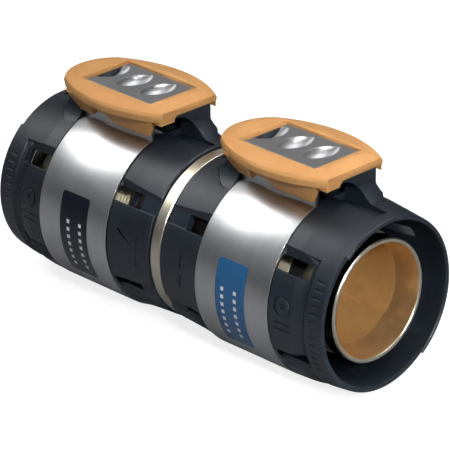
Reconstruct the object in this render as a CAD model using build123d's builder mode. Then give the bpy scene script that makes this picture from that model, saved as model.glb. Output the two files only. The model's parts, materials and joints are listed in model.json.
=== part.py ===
from build123d import *
import math
import os

# Press-type push-on coupling for a 50 mm plastic/aluminium composite pipe.
# Frame: millimetres. X is the coupling's axis, +Z is up through the two
# indicator heads, and the origin is the middle of the coupling on its axis.
# "Clock angle" is measured about X from +Z towards -Y, in degrees.

# ---------------------------------------------------------------- dimensions
BORE_R = 17.3            # flow bore
MOUTH_R = 19.3           # bore at the nozzle tip
MOUTH_X = 62.2           # where the mouth cone meets the bore
TIP_X = 71.2             # nozzle tip
NOZ_R = 20.8             # nozzle outside, for a 42 mm pipe inside diameter
HUB_R = 25.0             # hub between the nozzles
HUB_X = 16.0             # hub shoulder
COLLAR_R = 29.0          # centre collar
COLLAR_X = 2.2           # half width of the centre collar
ROOT_R = 22.4            # nozzle root that carries the insulating ring
ROOT_X = 19.0

SEAL_A = (49.45, 56.25)  # outer seal groove, distance from the middle
SEAL_B = (34.0, 38.4)    # inner seal groove
RELIEF = (61.0, 66.1)    # shallow relief groove behind the tip land
BARBS = (23.0, 24.4, 25.8, 27.2, 28.6)

SNAP_X = (7.0, 8.6)      # snap ring
SNAP_R = (24.0, 26.2)

SLEEVE_IN_X = 2.75       # sleeve's inboard end
SLEEVE_OUT_X = 75.2      # sleeve's outboard rim
BAND_X = (20.8, 52.8)    # press band
BAND_R = 31.3
BAND_T = 1.2
EAR_HALF = 9.9           # half width of the band's ear
EAR_TOP = 42.5
BEAD_X = (-14.0, -2.9, 8.2)   # bead centres from the middle of the head
LINER_X = (25.8, 46.6)
LINER_R = (25.5, 26.7)
HEAD_C = 36.8            # middle of each head from the coupling's middle
HEAD_TOP = 43.2
LABEL_X = (30.4, 42.8)
LABEL_CLOCK = (67.5, 125.0)

os.makedirs("parts", exist_ok=True)


def radial_plane(x, clock, r):
    """Plane square to the radius at this clock angle, local X along the axis."""
    a = math.radians(clock)
    n = (0, -math.sin(a), math.cos(a))
    return Plane(origin=(x, n[1] * r, n[2] * r), x_dir=(1, 0, 0), z_dir=n)


def clock_plane(clock):
    """Half plane through the axis: local X along +X, local Y along the radius."""
    a = math.radians(clock)
    return Plane(origin=(0, 0, 0), x_dir=(1, 0, 0),
                 z_dir=(0, -math.cos(a), -math.sin(a)))


# ------------------------------------------------------------- fitting body
with BuildPart() as fitting_body:
    with BuildSketch(Plane.XZ) as sk:
        outer = [(0, COLLAR_R), (COLLAR_X - 0.3, COLLAR_R), (COLLAR_X, COLLAR_R - 0.3),
                 (COLLAR_X, HUB_R), (SNAP_X[0] - 0.1, HUB_R), (SNAP_X[0] - 0.1, 23.8),
                 (SNAP_X[1] + 0.1, 23.8), (SNAP_X[1] + 0.1, HUB_R), (HUB_X - 0.6, HUB_R),
                 (HUB_X, HUB_R - 0.6), (HUB_X, ROOT_R), (ROOT_X - 0.2, ROOT_R),
                 (ROOT_X - 0.2, 20.2), (21.6, 20.2), (22.0, NOZ_R)]
        for b in BARBS:
            outer += [(b, NOZ_R), (b, 20.1), (b + 0.5, 20.1), (b + 1.0, NOZ_R)]
        outer += [(SEAL_B[0], NOZ_R), (SEAL_B[0], 18.75), (SEAL_B[1], 18.75), (SEAL_B[1], NOZ_R),
                  (SEAL_A[0], NOZ_R), (SEAL_A[0], 18.75), (SEAL_A[1], 18.75), (SEAL_A[1], NOZ_R),
                  (RELIEF[0], NOZ_R), (RELIEF[0] + 0.4, 20.1), (RELIEF[1] - 0.4, 20.1),
                  (RELIEF[1], NOZ_R), (TIP_X - 0.5, NOZ_R), (TIP_X, NOZ_R - 0.4),
                  (TIP_X, MOUTH_R + 0.3), (TIP_X - 0.3, MOUTH_R), (MOUTH_X, BORE_R)]
        right = outer
        left = [(-x, r) for x, r in reversed(outer[1:])]
        with BuildLine():
            Polyline(*(left + right), close=True)
        make_face()
    revolve(axis=Axis.X)
fitting_body.part.label = "fitting_body"
export_step(fitting_body.part, "parts/fitting_body.step")


for side, s in (("right", 1), ("left", -1)):

    # ------------------------------------------------------------ seals
    for name, (g0, g1), r_out in (("seal_outer", SEAL_A, 20.95), ("seal_inner", SEAL_B, 20.95)):
        w = g1 - g0 - 0.2
        mid = s * (g0 + g1) / 2
        with BuildPart() as seal:
            with BuildSketch(Plane.XZ) as sk:
                with Locations((mid, (18.85 + r_out) / 2)):
                    RectangleRounded(w, r_out - 18.85, 0.95)
            revolve(axis=Axis.X)
        seal.part.label = f"{name}_{side}"
        export_step(seal.part, f"parts/{name}_{side}.step")

    # -------------------------------------------------- insulating ring
    with BuildPart() as insulating_ring:
        with BuildSketch(Plane.XZ) as sk:
            x0, x1 = HUB_X + 0.1, ROOT_X - 0.05
            with BuildLine():
                Polyline(*[(s * x0, ROOT_R + 0.05), (s * x1, ROOT_R + 0.05), (s * x1, 24.3),
                     (s * (x1 - 0.5), 24.8), (s * x0, 24.8)], close=True)
            make_face()
        revolve(axis=Axis.X)
    insulating_ring.part.label = f"insulating_ring_{side}"
    export_step(insulating_ring.part, f"parts/insulating_ring_{side}.step")

    # -------------------------------------------------------- snap ring
    with BuildPart() as snap_ring:
        with BuildSketch(Plane.YZ.offset(s * SNAP_X[0] if s > 0 else -SNAP_X[1])) as sk:
            Circle(SNAP_R[1])
            Circle(SNAP_R[0], mode=Mode.SUBTRACT)
            with Locations((0, -SNAP_R[1])):
                Rectangle(5.0, 8.0, mode=Mode.SUBTRACT)
        extrude(amount=SNAP_X[1] - SNAP_X[0])
    snap_ring.part.label = f"snap_ring_{side}"
    export_step(snap_ring.part, f"parts/snap_ring_{side}.step")

    # ------------------------------------------------------ clamp liner
    with BuildPart() as clamp_liner:
        with BuildSketch(Plane.YZ.offset(LINER_X[0] if s > 0 else -LINER_X[1])) as sk:
            Circle(LINER_R[1])
            Circle(LINER_R[0], mode=Mode.SUBTRACT)
            with Locations((0, LINER_R[1])):
                Rectangle(12.0, 10.0, mode=Mode.SUBTRACT)
        extrude(amount=LINER_X[1] - LINER_X[0])
    clamp_liner.part.label = f"clamp_liner_{side}"
    export_step(clamp_liner.part, f"parts/clamp_liner_{side}.step")

    # ------------------------------------------------------ guide sleeve
    hc = s * HEAD_C

    # Towers at both ends of the head: the same solid turned half a turn about
    # the head's own vertical centre line. Each is open on one side, where the
    # bar overhangs a hollow, and sweeps down to the sleeve on the other.
    towers = []
    for e in (1, -1):
        x_in, x_out = hc + e * 16.4, hc + e * 22.4
        reach = 35.2 if e * s > 0 else 33.4
        with BuildPart() as tower:
            with BuildSketch(Plane.YZ.offset(min(x_in, hc + e * reach))) as sk:
                with BuildLine():
                    l1 = Polyline((-e * 5.5, 39.2), (e * 10.6, 39.2), (e * 10.6, 36.0))
                    l2 = ThreePointArc(l1 @ 1, (e * 11.3, 31.3), (e * 14.8, 27.2))
                    l3 = Polyline(l2 @ 1, (e * 16.6, 25.2), (e * 16.2, 23.8), (e * 9.0, 26.9),
                                  (e * 2.8, 28.1), (e * 3.0, 33.0))
                    l4 = ThreePointArc(l3 @ 1, (e * 0.4, 36.2), (-e * 5.5, 38.3))
                    Line(l4 @ 1, l1 @ 0)
                make_face()
            extrude(amount=reach - 16.4)
            with BuildSketch(Plane.XZ) as sk:
                with BuildLine():
                    b1 = Polyline((hc + e * reach, 18.0), (x_in, 18.0), (x_in, 46.0), (x_out, 46.0),
                                  (x_out + e * 0.3, 35.2))
                    b2 = ThreePointArc(b1 @ 1, (hc + e * 25.6, 31.9), (hc + e * reach, 28.7))
                    Line(b2 @ 1, b1 @ 0)
                make_face()
            revolve(axis=Axis.X, mode=Mode.INTERSECT)
            # in plan the foot narrows towards its end
            with BuildSketch(Plane.XY.offset(15.0)) as sk:
                with BuildLine():
                    Polyline((x_in, -e * 7.0), (x_in, e * 17.0), (x_out, e * 13.6), (x_out + e * 6.0, e * 8.6),
                             (hc + e * reach, e * 6.0), (hc + e * reach, -e * 7.0), close=True)
                make_face()
            extrude(amount=30.0, mode=Mode.INTERSECT)
            if e < 0:
                # upstand that closes the head behind the plate's cut end
                for xa, ya, yb, zt in ((16.8, -9.2, 5.2, 39.15), (16.0, -9.2, 9.2, 41.9)):
                    with BuildSketch(Plane.XY.offset(38.35)) as sk:
                        with Locations((hc - (xa + 15.35) / 2, (ya + yb) / 2)):
                            Rectangle(xa - 15.35, yb - ya)
                    extrude(amount=zt - 38.35)
        towers.append(tower.part)

    with BuildPart() as sleeve:
        # shell of revolution: outer profile with the band's seat, inner guide
        prof = [(SLEEVE_IN_X, 29.3), (SLEEVE_IN_X + 0.3, 29.6), (8.0, 29.85), (14.0, 30.25),
                (BAND_X[0] - 0.4, 30.9), (BAND_X[0] - 0.4, 29.95),
                (BAND_X[1] + 0.4, 29.95), (BAND_X[1] + 0.4, 31.2), (59.0, 31.0), (65.0, 30.4),
                (70.0, 29.9), (SLEEVE_OUT_X - 0.4, 29.3), (SLEEVE_OUT_X, 28.9),
                (SLEEVE_OUT_X, 28.1), (SLEEVE_OUT_X - 0.4, 27.8), (68.0, 27.3), (60.0, 26.2),
                (53.0, 25.7), (LINER_X[1] + 0.1, 25.7), (LINER_X[1] + 0.1, 26.8),
                (LINER_X[0] - 0.1, 26.8), (LINER_X[0] - 0.1, 25.35), (9.0, 25.35), (9.0, 26.6),
                (6.6, 26.6), (6.6, 25.35), (SLEEVE_IN_X, 25.35)]
        with BuildSketch(Plane.XZ) as sk:
            with BuildLine():
                Polyline(*[(s * x, r) for x, r in prof], close=True)
            make_face()
        revolve(axis=Axis.X)
        add(towers[0])
        add(towers[1])

        # sunk floor of the hollow beside each tower's web
        for e in (1, -1):
            foot = 34.6 if e * s > 0 else 32.6
            with BuildSketch(Plane.XY.offset(28.7)) as sk:
                with Locations((hc + e * (16.6 + foot) / 2, 0)):
                    Rectangle(foot - 16.6, 5.6)
            extrude(amount=3.2, mode=Mode.SUBTRACT)

        # window pockets: a sloping floor from the upper edge down to the ledge
        # of the size panel, then a through hole that runs on under the band
        for c, d in ((57.0, 1), (119.0, -1), (180.0, 1), (241.0, 1), (303.0, -1)):
            lo, hi = (c - 9.6 * d, c + 5.4 * d)
            ring = []
            for rr, cc in ((33.5, lo), (30.95, lo), (28.95, lo + 4.4 * d), (28.3, hi), (33.5, hi)):
                t = math.radians(cc)
                ring.append((-rr * math.sin(t), rr * math.cos(t)))
            for x0, x1 in ((BAND_X[1] + 0.4, 66.0), (SLEEVE_IN_X - 1, BAND_X[0] - 0.4)):
                with BuildSketch(Plane.YZ.offset(min(s * x0, s * x1))) as sk:
                    with BuildLine():
                        Polyline(*ring, close=True)
                    make_face()
                extrude(amount=x1 - x0, mode=Mode.SUBTRACT)
            for h0, h1 in ((47.0, 65.0), (10.4, 25.4)):
                with BuildSketch(radial_plane(s * (h0 + h1) / 2, c + 0.3 * d, 32.0)) as sk:
                    RectangleRounded(h1 - h0, 5.0, 0.5)
                extrude(amount=-8.0, mode=Mode.SUBTRACT)

        # soft channel between the size panels and the rim band
        for c0, c1 in ((48.0, 312.0),):
            with BuildSketch(clock_plane(c0)) as sk:
                with BuildLine():
                    g1 = Polyline((s * 67.6, 32.5), (s * 67.6, 30.2))
                    g2 = ThreePointArc(g1 @ 1, (s * 66.3, 29.35), (s * 64.6, 29.4))
                    g3 = Polyline(g2 @ 1, (s * 61.6, 30.8), (s * 61.6, 32.5))
                    Line(g3 @ 1, g1 @ 0)
                make_face()
            revolve(axis=Axis.X, revolution_arc=c1 - c0, mode=Mode.SUBTRACT)

        # slot under the ear that lets the sleeve close when the band is pressed
        with BuildSketch(Plane.XY.offset(20.0)) as sk:
            with Locations((hc, 0)):
                RectangleRounded(28.0, 9.0, 2.0)
        extrude(amount=14.0, mode=Mode.SUBTRACT)

        # stepped rim: one half of the edge stands 1.2 mm lower than the other
        low0, low1 = (40.0, 217.0) if s > 0 else (217.0, 400.0)
        with BuildSketch(clock_plane(low0)) as sk:
            with BuildLine():
                Polyline((s * 74.0, 26.5), (s * 76.0, 26.5), (s * 76.0, 30.5), (s * 74.0, 30.5), close=True)
            make_face()
        revolve(axis=Axis.X, revolution_arc=low1 - low0, mode=Mode.SUBTRACT)

        # plain index ticks around the rim band, both sides of the coupling
        for i in range(13):
            for c in (60.0 + 5.0 * i, 300.0 - 5.0 * i):
                with BuildSketch(radial_plane(s * 71.0, c, 31.5)) as sk:
                    Rectangle(3.6, 0.9)
                extrude(amount=-1.95, mode=Mode.SUBTRACT)

        # pipe-section mark and two bars sunk into each outer panel
        for c, d in ((82.0, 1), (278.0, -1)):
            with BuildSketch(radial_plane(s * 58.6, c, 33.0)) as sk:
                Circle(3.5)
                Circle(2.7, mode=Mode.SUBTRACT)
                Circle(1.1)
            extrude(amount=-2.55, mode=Mode.SUBTRACT)
            for dc in (11.0, 15.0):
                with BuildSketch(radial_plane(s * 58.6, c + dc * d, 33.0)) as sk:
                    Rectangle(6.6, 0.8)
                extrude(amount=-2.5, mode=Mode.SUBTRACT)

        # fine strokes sunk into the inner panels
        strokes = ((12.6, 77.6, 86.5), (12.6, 91.0, 99.5)) if s > 0 else ((8.2, 77.0, 99.0),)
        for xs, c0, c1 in strokes:
            with BuildSketch(clock_plane(c0)) as sk:
                with Locations((s * xs, 30.6)):
                    Rectangle(0.8, 2.1)
            revolve(axis=Axis.X, revolution_arc=c1 - c0, mode=Mode.SUBTRACT)
        if s < 0:
            with BuildSketch(radial_plane(-13.5, 82.4, 32.0)) as sk:
                Rectangle(7.6, 0.8, rotation=-37)
            extrude(amount=-2.4, mode=Mode.SUBTRACT)
    sleeve.part.label = f"guide_sleeve_{side}"
    export_step(sleeve.part, f"parts/guide_sleeve_{side}.step")
    print(side, "sleeve volume", sleeve.part.volume, len(sleeve.part.solids()))

    # -------------------------------------------------------- press band
    with BuildPart() as band:
        with BuildSketch(Plane.YZ.offset(BAND_X[0] if s > 0 else -BAND_X[1])) as sk:
            Circle(BAND_R)
            with Locations((0, EAR_TOP / 2)):
                Rectangle(2 * EAR_HALF, EAR_TOP)
            concave = sk.vertices().filter_by(lambda v: 25 < v.Z < 35)
            fillet(concave, radius=3.4)
            fillet(sk.vertices().filter_by(lambda v: v.Z > 41), radius=2.2)
        extrude(amount=BAND_X[1] - BAND_X[0])
        with BuildSketch(Plane.YZ.offset((BAND_X[0] if s > 0 else -BAND_X[1]) - 1)) as sk2:
            Circle(BAND_R - BAND_T)
            with Locations((0, (EAR_TOP - BAND_T) / 2)):
                Rectangle(2 * (EAR_HALF - BAND_T), EAR_TOP - BAND_T)
            fillet(sk2.vertices().filter_by(lambda v: 25 < v.Z < 35), radius=4.5)
            fillet(sk2.vertices().filter_by(lambda v: v.Z > 39), radius=1.0)
        extrude(amount=BAND_X[1] - BAND_X[0] + 2, mode=Mode.SUBTRACT)
        # pressed beads across the ear's top plate, each turned a little in plan
        for bx in BEAD_X:
            c, t, zc = (hc + bx, 0.9), math.radians(12.0), EAR_TOP + 1.2
            u, v = (math.sin(t), math.cos(t)), (math.cos(t), -math.sin(t))
            for r_mid, half, md in ((5.2, 8.3, Mode.ADD), (4.2, 7.9, Mode.SUBTRACT)):
                with BuildSketch(Plane.XY.offset(zc)) as sk:
                    with BuildLine():
                        arc = ThreePointArc((c[0] - u[0] * half, c[1] - u[1] * half),
                                            (c[0] + v[0] * r_mid, c[1] + v[1] * r_mid),
                                            (c[0] + u[0] * half, c[1] + u[1] * half))
                        Line(arc @ 1, arc @ 0)
                    make_face()
                revolve(axis=Axis((c[0], c[1], zc), (u[0], u[1], 0)), mode=md)
        # keep the beads' undersides inside the ear
        for yy in (-1, 1):
            with BuildSketch(Plane.XY.offset(34.0)) as sk:
                with Locations((hc, yy * (EAR_HALF + 4.0))):
                    Rectangle(40, 8.0)
            extrude(amount=12.0, mode=Mode.SUBTRACT)
        # trim anything that stands above the plate or past the band's edges
        with BuildSketch(Plane.XY.offset(EAR_TOP)) as sk:
            with Locations((hc, 0)):
                Rectangle(60, 30)
        extrude(amount=12, mode=Mode.SUBTRACT)
        for ex in (BAND_X[0] * s, BAND_X[1] * s):
            inward = 1 if abs(ex) < HEAD_C else -1
            with BuildSketch(Plane.YZ.offset(ex)) as sk:
                with Locations((0, 38)):
                    Rectangle(30, 16)
            extrude(amount=-s * inward * 10, mode=Mode.SUBTRACT)
        # the plate stops short at one end, where the first bead cuts its edge
        with BuildSketch(Plane.XY.offset(37.9)) as sk:
            with Locations((hc - 16.6, 0)):
                Rectangle(3.0, 24.0)
        extrude(amount=6.0, mode=Mode.SUBTRACT)
    band.part.label = f"press_band_{side}"
    export_step(band.part, f"parts/press_band_{side}.step")
    print(side, "band volume", band.part.volume, len(band.part.solids()))

    # ------------------------------------------------------------- label
    with BuildPart() as label:
        with BuildSketch(clock_plane(LABEL_CLOCK[0])) as sk:
            with BuildLine():
                Polyline(*[(s * LABEL_X[0], BAND_R + 0.02), (s * LABEL_X[1], BAND_R + 0.02),
                     (s * LABEL_X[1], BAND_R + 0.17), (s * LABEL_X[0], BAND_R + 0.17)], close=True)
            make_face()
        revolve(axis=Axis.X, revolution_arc=LABEL_CLOCK[1] - LABEL_CLOCK[0])
    label.part.label = f"label_{side}"
    export_step(label.part, f"parts/label_{side}.step")
    bb = label.part.bounding_box()
    print(side, "label", bb)

    # ------------------------------------------------- press indicator
    with BuildPart() as indicator:
        xr, xl, xn = hc + 23.8, hc - 23.4, hc - 28.6
        wide, end = 19.3, 12.4

        def outline(z, inset):
            with BuildSketch(Plane.XY.offset(z)) as o:
                with BuildLine():
                    p = ThreePointArc((xl + inset * 0.5, -(end - inset * 0.6)), (hc, -(wide - inset)),
                                      (xr - inset * 0.8, -(end - inset * 0.6)))
                    q = Line(p @ 1, (xr - inset * 0.8, end - inset * 0.6))
                    r = ThreePointArc(q @ 1, (hc, wide - inset), (xl + inset * 0.5, end - inset * 0.6))
                    ThreePointArc(r @ 1, (xn + inset * 0.7, 0), p @ 0)
                make_face()
            return o

        lower = outline(38.6, 0.5)
        skirt = outline(40.9, 0.0)
        shoulder = outline(41.9, 0.5)
        crest = outline(HEAD_TOP, 6.2)
        loft([lower.sketch, skirt.sketch])
        loft([skirt.sketch, shoulder.sketch])
        loft([shoulder.sketch, crest.sketch])
    print(side, "indicator shell", indicator.part.volume, len(indicator.part.solids()))
    with BuildPart() as press_indicator:
        add(indicator.part)
        # hollow underside above the towers
        with BuildSketch(Plane.XY.offset(38.0)) as sk:
            with BuildLine():
                p = ThreePointArc((hc - 22.6, -10.8), (hc, -17.4), (hc + 21.9, -11.0))
                q = Line(p @ 1, (hc + 21.9, 11.0))
                r = ThreePointArc(q @ 1, (hc, 17.4), (hc - 22.6, 10.8))
                ThreePointArc(r @ 1, (hc - 26.4, 0), p @ 0)
            make_face()
        extrude(amount=1.6, mode=Mode.SUBTRACT)
        # opening over the ear
        with BuildSketch(Plane.XY.offset(37.0)) as sk:
            with Locations((hc, 0)):
                Rectangle(32.7, 21.4)
        extrude(amount=10.0, mode=Mode.SUBTRACT)
        with BuildSketch(Plane.XY.offset(HEAD_TOP + 0.1)) as sk:
            with Locations((hc, 0)):
                Rectangle(33.6, 22.3)
        extrude(amount=-0.6, taper=40, mode=Mode.SUBTRACT)
        # side rails that carry the clip legs
        for yy in (-1, 1):
            with BuildSketch(Plane.XY.offset(38.2)) as sk:
                with Locations((hc, yy * 13.2)):
                    Rectangle(31.0, 5.0)
            extrude(amount=1.6)
            # clip legs: wedges that narrow down towards the ear's wall
            for top, bot, zb in (
                    (((-21.4, 10.3), (-20.2, 15.0), (-6.0, 17.9), (-6.0, 10.3)),
                     ((-16.0, 10.3), (-16.0, 11.7), (-9.8, 12.1), (-9.8, 10.3)), 32.1),
                    (((-1.6, 10.3), (-1.6, 18.0), (19.6, 14.0), (19.6, 10.3)),
                     ((1.4, 10.3), (1.4, 12.3), (16.2, 11.8), (16.2, 10.3)), 31.9)):
                with BuildSketch(Plane.XY.offset(38.9)) as sk:
                    with BuildLine():
                        Polyline(*[(hc + x, yy * y) for x, y in top], close=True)
                    make_face()
                with BuildSketch(Plane.XY.offset(zb)) as sk:
                    with BuildLine():
                        Polyline(*[(hc + x, yy * y) for x, y in bot], close=True)
                    make_face()
                loft()
            # web between the two legs, set back from their outer faces
            with BuildSketch(Plane.XY.offset(38.9)) as sk:
                with Locations((hc - 3.8, yy * 12.2)):
                    Rectangle(14.0, 3.8)
            with BuildSketch(Plane.XY.offset(33.4)) as sk2:
                with Locations((hc - 3.8, yy * 10.85)):
                    Rectangle(14.0, 1.1)
            loft([sk.sketch, sk2.sketch])
            # corner block at the squared end
            with BuildSketch(Plane.XY.offset(37.5)) as sk:
                with Locations((hc + 20.4, yy * 11.7)):
                    Rectangle(5.6, 1.6)
                if yy < 0:
                    with Locations((hc + 20.4, -9.4)):
                        Rectangle(5.6, 6.0)
            extrude(amount=2.4)
            # small tab in the middle of each long side, close to the ear
            with BuildSketch(Plane.XY.offset(40.4)) as sk:
                with Locations((hc + 4.5, yy * 10.6)):
                    Rectangle(8.0, 0.8)
            extrude(amount=1.9)
        # room for the towers' bars and shoulders at both ends
        with BuildSketch(Plane.XY.offset(30.0)) as sk:
            with Locations((hc + 20.05, 2.4)):
                Rectangle(8.1, 17.0)
            with Locations((hc - 20.05, -2.6)):
                Rectangle(8.1, 16.8)
            with Locations((hc - 20.05, 0)):
                Rectangle(8.1, 24.6)
            with Locations((hc + 20.05, 6.1)):
                Rectangle(8.1, 12.4)
        extrude(amount=9.6, mode=Mode.SUBTRACT)
    press_indicator.part.label = f"press_indicator_{side}"
    export_step(press_indicator.part, f"parts/press_indicator_{side}.step")
    print(side, "indicator volume", press_indicator.part.volume, len(press_indicator.part.solids()))
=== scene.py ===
import json
import math

import bmesh
import bpy
import numpy as np
from mathutils import Matrix, Vector


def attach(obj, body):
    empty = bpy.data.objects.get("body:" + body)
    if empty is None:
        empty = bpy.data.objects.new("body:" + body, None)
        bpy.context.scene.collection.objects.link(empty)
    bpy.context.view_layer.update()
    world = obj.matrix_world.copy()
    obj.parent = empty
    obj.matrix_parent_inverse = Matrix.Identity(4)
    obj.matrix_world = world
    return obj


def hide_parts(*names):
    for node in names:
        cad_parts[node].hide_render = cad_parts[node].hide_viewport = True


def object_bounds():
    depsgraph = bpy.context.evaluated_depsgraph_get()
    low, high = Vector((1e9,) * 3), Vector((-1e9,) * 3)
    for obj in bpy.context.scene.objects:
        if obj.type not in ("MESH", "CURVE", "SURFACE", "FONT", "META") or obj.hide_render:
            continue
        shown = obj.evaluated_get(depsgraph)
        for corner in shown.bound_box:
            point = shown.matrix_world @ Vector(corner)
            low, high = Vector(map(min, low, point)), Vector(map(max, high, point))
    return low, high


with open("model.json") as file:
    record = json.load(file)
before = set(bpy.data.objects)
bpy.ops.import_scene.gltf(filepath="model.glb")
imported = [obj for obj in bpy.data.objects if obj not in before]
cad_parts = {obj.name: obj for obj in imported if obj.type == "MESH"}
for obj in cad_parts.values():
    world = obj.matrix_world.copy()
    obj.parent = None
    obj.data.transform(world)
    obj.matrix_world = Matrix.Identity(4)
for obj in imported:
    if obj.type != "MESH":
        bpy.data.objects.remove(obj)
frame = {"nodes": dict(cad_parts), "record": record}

cad_lo, cad_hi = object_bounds()
SIDES = (("right", 1.0), ("left", -1.0))
rec = frame["record"]


# ------------------------------------------------------------------ camera
AZ, EL = math.radians(45.02), math.radians(24.72)
back = Vector((math.sin(AZ) * math.cos(EL), -math.cos(AZ) * math.cos(EL), math.sin(EL)))
right = Vector((math.cos(AZ), math.sin(AZ), 0.0))
up = back.cross(right)
DIST, FOCAL_PX = 1.03807, 3165.78
ox = (218.32 - 225) * DIST / FOCAL_PX
oy = -(233.49 - 225) * DIST / FOCAL_PX
cam_data = bpy.data.cameras.new("camera")
cam_data.sensor_width = 36.0
cam_data.lens = FOCAL_PX / 450.0 * 36.0
cam_data.clip_start = 0.05
cam_data.clip_end = 20.0
cam = bpy.data.objects.new("camera", cam_data)
bpy.context.scene.collection.objects.link(cam)
m = Matrix((
    (right.x, up.x, back.x, 0.0),
    (right.y, up.y, back.y, 0.0),
    (right.z, up.z, back.z, 0.0),
    (0.0, 0.0, 0.0, 1.0)))
cam.matrix_world = Matrix.Translation(back * DIST - right * ox - up * oy) @ m
bpy.context.scene.camera = cam


# --------------------------------------------------------------- materials
class Mat:
    """A small helper that builds a procedural material around one Principled shader."""

    def __init__(self, name):
        self.m = bpy.data.materials.new(name)
        self.m.use_nodes = True
        self.t = self.m.node_tree
        self.bsdf = next(n for n in self.t.nodes if n.type == "BSDF_PRINCIPLED")
        self.tc = self.node("ShaderNodeTexCoord")

    def node(self, kind, **props):
        n = self.t.nodes.new(kind)
        for k, v in props.items():
            setattr(n, k, v)
        return n

    def link(self, a, b):
        self.t.links.new(a, b)

    def set(self, **values):
        names = {"base": "Base Color", "rough": "Roughness", "metal": "Metallic",
                 "spec": "Specular IOR Level", "coat": "Coat Weight", "coat_rough": "Coat Roughness",
                 "aniso": "Anisotropic", "ior": "IOR", "sss": "Subsurface Weight",
                 "sheen": "Sheen Weight"}
        for k, v in values.items():
            self.bsdf.inputs[names[k]].default_value = v

    def math(self, op, a, b=None, clamp=False):
        n = self.node("ShaderNodeMath", operation=op, use_clamp=clamp)
        for i, v in enumerate((a, b)):
            if v is None:
                continue
            if isinstance(v, (int, float)):
                n.inputs[i].default_value = v
            else:
                self.link(v, n.inputs[i])
        return n.outputs[0]

    def ramp(self, fac, stops, interp="LINEAR"):
        n = self.node("ShaderNodeValToRGB")
        n.color_ramp.interpolation = interp
        e = n.color_ramp.elements
        while len(e) < len(stops):
            e.new(0.5)
        for el, (p, c) in zip(e, stops):
            el.position = p
            el.color = (*c, 1.0) if len(c) == 3 else c
        self.link(fac, n.inputs[0])
        return n.outputs[0]

    def range(self, v, a, b, c, d):
        n = self.node("ShaderNodeMapRange")
        self.link(v, n.inputs[0])
        for i, x in enumerate((a, b, c, d)):
            n.inputs[i + 1].default_value = x
        return n.outputs[0]

    def mapped(self, vec, scale):
        n = self.node("ShaderNodeMapping")
        n.inputs["Scale"].default_value = scale
        self.link(vec, n.inputs["Vector"])
        return n.outputs[0]

    def noise(self, vec, scale, detail=3.0, rough=0.55, dist=0.0):
        n = self.node("ShaderNodeTexNoise")
        n.inputs["Scale"].default_value = scale
        n.inputs["Detail"].default_value = detail
        n.inputs["Roughness"].default_value = rough
        n.inputs["Distortion"].default_value = dist
        self.link(vec, n.inputs["Vector"])
        return n.outputs["Fac"]

    def mix(self, fac, a, b, blend="MIX"):
        n = self.node("ShaderNodeMix", data_type="RGBA", blend_type=blend)
        if isinstance(fac, (int, float)):
            n.inputs[0].default_value = fac
        else:
            self.link(fac, n.inputs[0])
        for i, v in ((6, a), (7, b)):
            if isinstance(v, tuple):
                n.inputs[i].default_value = (*v, 1.0)
            else:
                self.link(v, n.inputs[i])
        return n.outputs[2]

    def bump(self, height, strength, distance, prev=None):
        n = self.node("ShaderNodeBump")
        n.inputs["Strength"].default_value = strength
        n.inputs["Distance"].default_value = distance
        self.link(height, n.inputs["Height"])
        if prev is not None:
            self.link(prev, n.inputs["Normal"])
        return n.outputs[0]

    def bevel(self, radius, samples=6):
        """Softly rounded edges, as a moulded or rolled part has."""
        n = self.node("ShaderNodeBevel")
        n.samples = samples
        n.inputs["Radius"].default_value = radius
        return n.outputs[0]

    def box(self, x, a, x0, x1, a0, a1, soft_x=0.00006, soft_a=0.003):
        """1 inside a rectangle of the (x, clock angle) plane."""
        v = None
        for q, lo, hi, e in ((x, x0, x1, soft_x), (a, math.radians(a0), math.radians(a1), soft_a)):
            for w in (self.range(q, lo - e, lo + e, 0.0, 1.0), self.range(q, hi - e, hi + e, 1.0, 0.0)):
                v = w if v is None else self.math("MULTIPLY", v, w)
        return v

    def edge(self, lo=0.50, hi=0.56):
        """Convex edges, from Pointiness."""
        g = self.node("ShaderNodeNewGeometry")
        return self.range(g.outputs["Pointiness"], lo, hi, 0.0, 1.0)

    def polar(self):
        """(x, radius about the coupling's axis, clock angle / 2 pi) from object space."""
        sep = self.node("ShaderNodeSeparateXYZ")
        self.link(self.tc.outputs["Object"], sep.inputs[0])
        x, y, z = sep.outputs
        r = self.math("SQRT", self.math("ADD", self.math("MULTIPLY", y, y), self.math("MULTIPLY", z, z)))
        a = self.math("ARCTAN2", self.math("MULTIPLY", y, -1.0), z)
        return x, r, a

    def polar_vec(self, sx, sr, sa):
        x, r, a = self.polar()
        c = self.node("ShaderNodeCombineXYZ")
        self.link(self.math("MULTIPLY", x, sx), c.inputs[0])
        self.link(self.math("MULTIPLY", r, sr), c.inputs[1])
        self.link(self.math("MULTIPLY", a, sa), c.inputs[2])
        return c.outputs[0]

    def out(self, colour=None, rough=None, normal=None, metal=None):
        for v, nme in ((colour, "Base Color"), (rough, "Roughness"), (normal, "Normal"), (metal, "Metallic")):
            if v is not None:
                self.link(v, self.bsdf.inputs[nme])
        return self.m


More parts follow.
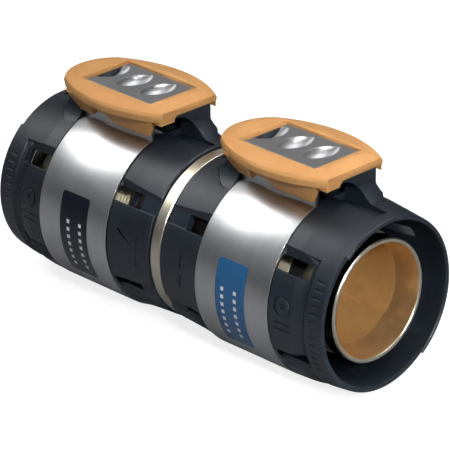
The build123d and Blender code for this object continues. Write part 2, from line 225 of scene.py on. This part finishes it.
def black_plastic(name, base=(0.0080, 0.0130, 0.0205), tone=1.0, edge_r=0.0004):
    k = Mat(name)
    o = k.tc.outputs["Object"]
    k.set(spec=0.66, coat=0.0)
    cloud = k.noise(o, 60.0, 3.0)
    grain = k.noise(o, 4200.0, 2.0, 0.6)
    fine = k.noise(o, 1500.0, 3.0, 0.6)
    rub = k.noise(k.mapped(o, (0.6, 1.0, 1.0)), 220.0, 5.0, 0.7)
    b = tuple(c * tone for c in base)
    col = k.mix(k.range(cloud, 0.35, 0.65, 0.0, 1.0), tuple(c * 0.84 for c in b), tuple(c * 1.16 for c in b))
    worn = k.math("MULTIPLY", k.edge(0.51, 0.60), k.range(rub, 0.40, 0.62, 0.10, 0.45))
    col = k.mix(worn, col, tuple(min(1.0, c * 2.8) for c in b))
    scuff = k.range(rub, 0.58, 0.72, 0.0, 0.05)
    rough = k.math("ADD", k.range(fine, 0.3, 0.7, 0.38, 0.47), scuff)
    n = k.bump(grain, 0.10, 0.00004, k.bevel(edge_r))
    n = k.bump(fine, 0.10, 0.00007, n)
    return k.out(col, rough, n)


def orange_plastic(name):
    k = Mat(name)
    o = k.tc.outputs["Object"]
    k.set(spec=0.34, sss=0.05)
    k.bsdf.inputs["Subsurface Radius"].default_value = (0.0008, 0.0004, 0.00015)
    k.bsdf.inputs["Subsurface Scale"].default_value = 1.0
    cloud = k.noise(o, 90.0, 3.0)
    fine = k.noise(o, 1800.0, 3.0, 0.6)
    grain = k.noise(o, 5200.0, 2.0, 0.6)
    rub = k.noise(o, 260.0, 5.0, 0.7)
    col = k.mix(k.range(cloud, 0.35, 0.65, 0.0, 1.0), (0.625, 0.312, 0.105), (0.675, 0.345, 0.122))
    worn = k.math("MULTIPLY", k.edge(0.51, 0.60), k.range(rub, 0.40, 0.62, 0.05, 0.30))
    col = k.mix(worn, col, (0.78, 0.42, 0.17))
    rough = k.math("ADD", k.range(fine, 0.3, 0.7, 0.42, 0.54), k.range(rub, 0.58, 0.72, 0.0, 0.05))
    n = k.bump(grain, 0.08, 0.00004, k.bevel(0.0004))
    n = k.bump(fine, 0.08, 0.00006, n)
    return k.out(col, rough, n)


def satin_steel(name, base=0.66):
    k = Mat(name)
    k.set(metal=1.0, aniso=0.35)
    tan = k.node("ShaderNodeTangent", direction_type="RADIAL", axis="X")
    k.link(tan.outputs[0], k.bsdf.inputs["Tangent"])
    lines = k.noise(k.polar_vec(5200.0, 600.0, 3.0), 1.0, 4.0, 0.6)
    broad = k.noise(k.polar_vec(300.0, 60.0, 0.8), 1.0, 3.0, 0.5)
    smudge = k.noise(k.tc.outputs["Object"], 70.0, 4.0, 0.6)
    fleck = k.noise(k.mapped(k.tc.outputs["Object"], (1.0, 0.25, 0.25)), 1500.0, 4.0, 0.7)
    col = k.mix(k.range(broad, 0.3, 0.7, 0.0, 1.0), (base * 0.96, base * 0.96, base * 0.965),
                (base * 1.03, base * 1.03, base * 1.03))
    col = k.mix(k.range(fleck, 0.66, 0.76, 0.0, 0.06), col, (0.42, 0.42, 0.42))
    rough = k.math("ADD", k.range(lines, 0.25, 0.75, 0.27, 0.32), k.range(smudge, 0.35, 0.75, 0.0, 0.05))
    # the ear's pressed top is duller than the rolled strip
    sep = k.node("ShaderNodeSeparateXYZ")
    k.link(k.tc.outputs["Object"], sep.inputs[0])
    rough = k.math("ADD", rough, k.range(sep.outputs[2], 0.0370, 0.0385, 0.0, 0.13))
    col = k.mix(k.range(sep.outputs[2], 0.0385, 0.0400, 0.0, 1.0), col, (0.43, 0.43, 0.435))
    n = k.bump(lines, 0.04, 0.00002, k.bevel(0.0003))
    return k.out(col, rough, n)


def turned_brass(name):
    k = Mat(name)
    k.set(metal=1.0, aniso=0.3)
    tan = k.node("ShaderNodeTangent", direction_type="RADIAL", axis="X")
    k.link(tan.outputs[0], k.bsdf.inputs["Tangent"])
    lines = k.noise(k.polar_vec(4200.0, 4200.0, 2.0), 1.0, 3.0, 0.65)
    blotch = k.noise(k.tc.outputs["Object"], 110.0, 4.0, 0.6)
    spots = k.noise(k.tc.outputs["Object"], 1400.0, 4.0, 0.7)
    x, r, a = k.polar()
    ax = k.math("ABSOLUTE", x)
    # pale, freshly cut faces outside, warmer and duller inside the bore
    inside = k.range(r, 0.01936, 0.01928, 0.0, 1.0)
    bore = k.math("MULTIPLY", inside, k.range(ax, 0.0630, 0.0618, 0.0, 1.0))
    outer = k.mix(k.range(blotch, 0.3, 0.7, 0.0, 1.0), (0.78, 0.72, 0.58), (0.86, 0.80, 0.66))
    cone = k.mix(k.range(blotch, 0.3, 0.7, 0.0, 1.0), (0.70, 0.50, 0.25), (0.84, 0.64, 0.36))
    deep = k.mix(k.range(blotch, 0.3, 0.7, 0.0, 1.0), (0.62, 0.35, 0.12), (0.70, 0.41, 0.15))
    col = k.mix(bore, k.mix(inside, outer, cone), deep)
    # painted shade: the hub under the sleeves and the nozzle's tip, outside, are coloured near black where they sit
    # in shade between brass and sleeve
    hub = k.math("MULTIPLY", k.range(ax, 0.01665, 0.01655, 0.0, 1.0), k.range(r, 0.0256, 0.0257, 1.0, 0.0))
    hub = k.math("MULTIPLY", hub, k.range(r, 0.0206, 0.0207, 0.0, 1.0))
    tip = k.math("MULTIPLY", k.range(ax, 0.0654, 0.0656, 0.0, 1.0), k.range(ax, 0.0706, 0.0705, 0.0, 1.0))
    tip = k.math("MULTIPLY", tip, k.range(r, 0.0202, 0.0203, 0.0, 1.0))
    painted_shade = k.math("MAXIMUM", hub, tip)
    # painted light: the barbs, in shade under the sleeves, get a paler brass so they show bright through the
    # windows
    barb_painted_light = k.math("MULTIPLY", k.range(ax, 0.01675, 0.01685, 0.0, 1.0), k.range(ax, 0.0653, 0.0652, 0.0, 1.0))
    barb_painted_light = k.math("MULTIPLY", barb_painted_light, k.range(r, 0.0185, 0.0187, 0.0, 1.0))
    col = k.mix(barb_painted_light, col, (0.95, 0.86, 0.63))
    # the near-black colour here is painted shade, not a finish of the brass
    col = k.mix(painted_shade, col, (0.030, 0.028, 0.026))
    col = k.mix(k.range(spots, 0.60, 0.74, 0.0, 0.30), col, (0.40, 0.26, 0.11))
    rough = k.math("ADD", k.range(lines, 0.25, 0.75, 0.26, 0.36), k.range(bore, 0.0, 1.0, 0.0, 0.16))
    n = k.bump(lines, 0.14, 0.00003, k.bevel(0.0003))
    # the deep bore has a dull, scattering skin
    soft = k.math("MULTIPLY", inside, k.range(bore, 0.0, 1.0, 0.10, 0.55))
    # the barbs are also made partly diffuse, as part of the same painted light
    soft = k.math("MAXIMUM", soft, k.math("MULTIPLY", barb_painted_light, 0.45))
    return k.out(col, rough, n, k.math("SUBTRACT", 1.0, soft))


def rubber(name):
    k = Mat(name)
    o = k.tc.outputs["Object"]
    k.set(spec=0.35)
    a = k.noise(o, 900.0, 3.0)
    col = k.mix(k.range(a, 0.3, 0.7, 0.0, 1.0), (0.010, 0.010, 0.011), (0.018, 0.018, 0.019))
    return k.out(col, k.range(a, 0.3, 0.7, 0.5, 0.65), k.bump(a, 0.1, 0.00005))


def spring_steel(name):
    k = Mat(name)
    k.set(metal=1.0)
    a = k.noise(k.tc.outputs["Object"], 600.0, 4.0)
    col = k.mix(k.range(a, 0.3, 0.7, 0.0, 1.0), (0.42, 0.42, 0.42), (0.54, 0.54, 0.53))
    return k.out(col, k.range(a, 0.3, 0.7, 0.28, 0.42), k.bump(a, 0.08, 0.00003))


def printed_film(name, top, low, s):
    """Glossy film with columns of plain white dashes, no lettering. low is the colour at its foot."""
    k = Mat(name)
    k.set(spec=0.5)
    x, r, a = k.polar()
    ax = k.math("ABSOLUTE", x)
    tone = k.noise(k.tc.outputs["Object"], 300.0, 3.0)
    fade = k.range(a, math.radians(84.0), math.radians(122.0), 0.0, 1.0)
    col = k.mix(fade, top, low)
    col = k.mix(k.range(tone, 0.3, 0.7, 0.0, 0.10), col, (0.0, 0.0, 0.0))
    # two columns of short dashes, all of one length
    mask = None
    for x0, x1, a0, a1 in [(x, x + 0.0013, 85.0 + 5.0 * i, 87.4 + 5.0 * i)
                           for x in (0.0324, 0.0380) for i in range(7)]:
        v = k.box(ax, a, x0, x1, a0, a1)
        mask = v if mask is None else k.math("MAXIMUM", mask, v)
    wear = k.range(k.noise(k.tc.outputs["Object"], 2600.0, 3.0), 0.30, 0.42, 0.80, 1.0)
    col = k.mix(k.math("MULTIPLY", mask, wear), col, (0.72, 0.74, 0.76))
    rough = k.range(tone, 0.3, 0.7, 0.30, 0.40)
    n = k.bump(k.noise(k.tc.outputs["Object"], 900.0, 3.0), 0.06, 0.00003)
    return k.out(col, rough, n)


mats = {
    "sleeve": black_plastic("sleeve_plastic"),
    "liner": black_plastic("liner_plastic", tone=0.8),
    "insulator": black_plastic("insulator_plastic", tone=0.9),
    "indicator": orange_plastic("indicator_plastic"),
    "band": satin_steel("band_steel"),
    "brass": turned_brass("turned_brass"),
    "seal_rubber": rubber("seal_rubber"),
    "snap_ring": spring_steel("snap_ring_steel"),
    "label_blue": printed_film("label_film_blue", (0.018, 0.105, 0.255), (0.038, 0.100, 0.205), 1),
    "label_dark": printed_film("label_film_dark", (0.003, 0.006, 0.014), (0.045, 0.052, 0.064), -1),
}
slot_of = {s["node"]: s["material_slot"] for s in rec["subparts"]}
for name, obj in frame["nodes"].items():
    obj.data.materials.clear()
    obj.data.materials.append(mats[slot_of[name]])

# rolled edges on the press bands
for side_name, s in SIDES:
    o = frame["nodes"][f"press_band_{side_name}"]
    w = o.modifiers.new("join", "WELD")
    w.merge_threshold = 0.000002
    b = o.modifiers.new("rolled_edge", "BEVEL")
    b.width = 0.00035
    b.segments = 3
    b.limit_method = "ANGLE"
    b.angle_limit = math.radians(62)
    # softened moulded edges on the indicators
    o = frame["nodes"][f"press_indicator_{side_name}"]
    w = o.modifiers.new("join", "WELD")
    w.merge_threshold = 0.000002
    b = o.modifiers.new("moulded_edge", "BEVEL")
    b.width = 0.00030
    b.segments = 3
    b.limit_method = "ANGLE"
    b.angle_limit = math.radians(38)

# ------------------------------------------------------------ label films
def film(name, s, x0, x1, c0, c1, radius, thick, corner):
    """Thin film bent round the band, with rounded corners, solid all round."""
    bm = bmesh.new()
    half = (x1 - x0) / 2
    mid = (x0 + x1) / 2
    a0, a1 = math.radians(c0) * radius, math.radians(c1) * radius
    rows = []
    for i in range(9):
        t = math.radians(90 * i / 8)
        rows.append((a0 + corner * (1 - math.cos(t)), half - corner * (1 - math.sin(t))))
    for i in range(1, 40):
        rows.append((a0 + corner + (a1 - a0 - 2 * corner) * i / 40, half))
    for i in range(9):
        t = math.radians(90 * (8 - i) / 8)
        rows.append((a1 - corner * (1 - math.cos(t)), half - corner * (1 - math.sin(t))))
    grid = []
    for arc, h in rows:
        c = arc / radius
        grid.append([bm.verts.new((s * (mid + h * (2 * j / 10 - 1)), -radius * math.sin(c), radius * math.cos(c)))
                     for j in range(11)])
    for p, q in zip(grid, grid[1:]):
        for j in range(10):
            bm.faces.new((p[j], p[j + 1], q[j + 1], q[j]))
    bmesh.ops.recalc_face_normals(bm, faces=bm.faces)
    centre = Vector((s * mid, 0, 0))
    bm.faces.ensure_lookup_table()
    f = bm.faces[len(bm.faces) // 2]
    if f.normal.dot(f.calc_center_median() - centre) < 0:
        bmesh.ops.reverse_faces(bm, faces=bm.faces)
    for f in bm.faces:
        f.smooth = True
    mesh = bpy.data.meshes.new(name)
    bm.to_mesh(mesh)
    bm.free()
    o = bpy.data.objects.new(name, mesh)
    bpy.context.scene.collection.objects.link(o)
    sol = o.modifiers.new("thickness", "SOLIDIFY")
    sol.thickness = thick
    sol.offset = 1.0
    bev = o.modifiers.new("edge", "BEVEL")
    bev.width = thick * 0.35
    bev.segments = 2
    bev.limit_method = "ANGLE"
    bev.angle_limit = math.radians(50)
    return o


for side_name, s in SIDES:
    blue = s > 0
    o = film(f"label_film_{side_name}", s, 0.02995, 0.04265, 68.0, 124.5, 0.03132, 0.00015, 0.0012)
    o.data.materials.append(mats["label_blue" if blue else "label_dark"])
    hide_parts(f"label_{side_name}")
    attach(o, f"sleeve_{side_name}")

# ------------------------------------------------------------ floor, light
floor_z = cad_lo[2] - 0.0003
mesh = bpy.data.meshes.new("floor")
bm = bmesh.new()
n, size = 24, 3.0
# a sweep: flat floor that curves up into a backdrop behind the object
prof = [(-2.2, 0.0), (1.4, 0.0)]
for i in range(1, 13):
    a = math.radians(90 * i / 12)
    prof.append((1.4 + 0.6 * math.sin(a), 0.6 - 0.6 * math.cos(a)))
prof.append((2.0, 2.6))
d = Vector((-back.x, -back.y, 0)).normalized()
side = Vector((-d.y, d.x, 0))
rows = []
for t, h in prof:
    rows.append([bm.verts.new(d * t + side * w + Vector((0, 0, floor_z + h))) for w in (-3.0, 3.0)])
for a, b in zip(rows, rows[1:]):
    f = bm.faces.new((a[0], a[1], b[1], b[0]))
    f.smooth = True
bm.to_mesh(mesh)
bm.free()
floor = bpy.data.objects.new("floor", mesh)
bpy.context.scene.collection.objects.link(floor)
k = Mat("floor_paper")
k.set(spec=0.2)
g = k.noise(k.tc.outputs["Object"], 8.0, 2.0)
k.out(k.mix(k.range(g, 0.3, 0.7, 0.0, 1.0), (0.40, 0.40, 0.41), (0.42, 0.42, 0.43)), k.range(g, 0.3, 0.7, 0.8, 0.9))
sep_f = k.node("ShaderNodeSeparateXYZ")
k.link(k.tc.outputs["Object"], sep_f.inputs[0])
far = k.math("SQRT", k.math("ADD", k.math("MULTIPLY", sep_f.outputs[0], sep_f.outputs[0]),
                            k.math("MULTIPLY", sep_f.outputs[1], sep_f.outputs[1])))
bounce = k.node("ShaderNodeBsdfDiffuse")
k.link(k.ramp(k.range(far, 0.10, 0.70, 0.0, 1.0), [(0.0, (0.30, 0.30, 0.31)), (1.0, (0.06, 0.06, 0.065))]),
       bounce.inputs[0])
# the paper is lit brighter than the object, so that it reads as plain white
lp = k.node("ShaderNodeLightPath")
glow = k.node("ShaderNodeEmission")
glow.inputs[0].default_value = (1.0, 1.0, 1.0, 1.0)
glow.inputs[1].default_value = 0.80
both = k.node("ShaderNodeAddShader")
k.link(k.bsdf.outputs[0], both.inputs[0])
k.link(glow.outputs[0], both.inputs[1])
pick = k.node("ShaderNodeMixShader")
k.link(lp.outputs["Is Camera Ray"], pick.inputs[0])
k.link(bounce.outputs[0], pick.inputs[1])
k.link(both.outputs[0], pick.inputs[2])
outn = next(nn for nn in k.t.nodes if nn.type == "OUTPUT_MATERIAL")
k.link(pick.outputs[0], outn.inputs["Surface"])
mesh.materials.append(k.m)

bpy.context.scene.view_settings.view_transform = "Standard"
bpy.context.scene.view_settings.look = "None"
world = bpy.data.worlds.new("studio") if bpy.context.scene.world is None else bpy.context.scene.world
bpy.context.scene.world = world
world.use_nodes = True
wt = world.node_tree
bg = next(nn for nn in wt.nodes if nn.type == "BACKGROUND")
geo = wt.nodes.new("ShaderNodeTexCoord")
sep = wt.nodes.new("ShaderNodeSeparateXYZ")
wt.links.new(geo.outputs["Generated"], sep.inputs[0])
sky = wt.nodes.new("ShaderNodeValToRGB")
sky.color_ramp.elements.new(0.5)
for el, (p, c) in zip(sky.color_ramp.elements, ((0.0, 0.065), (0.35, 0.16), (1.0, 0.42))):
    el.position, el.color = p, (c * 0.96, c, c * 1.05, 1.0)
wt.links.new(sep.outputs[2], sky.inputs[0])
wt.links.new(sky.outputs[0], bg.inputs[0])
bg.inputs[1].default_value = 1.0
# seen directly, the studio is as white as the paper
white = wt.nodes.new("ShaderNodeBackground")
white.inputs[0].default_value = (1.0, 1.0, 1.0, 1.0)
wlp = wt.nodes.new("ShaderNodeLightPath")
wmix = wt.nodes.new("ShaderNodeMixShader")
wt.links.new(wlp.outputs["Is Camera Ray"], wmix.inputs[0])
wt.links.new(bg.outputs[0], wmix.inputs[1])
wt.links.new(white.outputs[0], wmix.inputs[2])
wout = next(nn for nn in wt.nodes if nn.type == "OUTPUT_WORLD")
wt.links.new(wmix.outputs[0], wout.inputs["Surface"])


def area(name, where, target, size, power, colour=(1, 1, 1), size_y=None):
    L = bpy.data.lights.new(name, "AREA")
    L.shape = "RECTANGLE"
    L.size = size
    L.size_y = size_y or size
    L.energy = power
    L.color = colour
    o = bpy.data.objects.new(name, L)
    bpy.context.scene.collection.objects.link(o)
    o.location = where
    o.rotation_euler = (Vector(target) - Vector(where)).to_track_quat("-Z", "Y").to_euler()
    o.visible_camera = False
    return o


area("key", (-0.78, -0.30, 0.90), (0, 0, 0), 0.62, 4.6)
area("top", (0.22, 0.42, 1.10), (0, 0, 0), 0.7, 6.6)
area("back", (-0.80, 0.80, 0.56), (0, 0, 0), 0.75, 0.42)
mouth = area("mouth", (0.95, -0.52, 0.62), (0.071, 0.002, -0.001), 0.20, 0.115)
mouth.data.spread = math.radians(9)
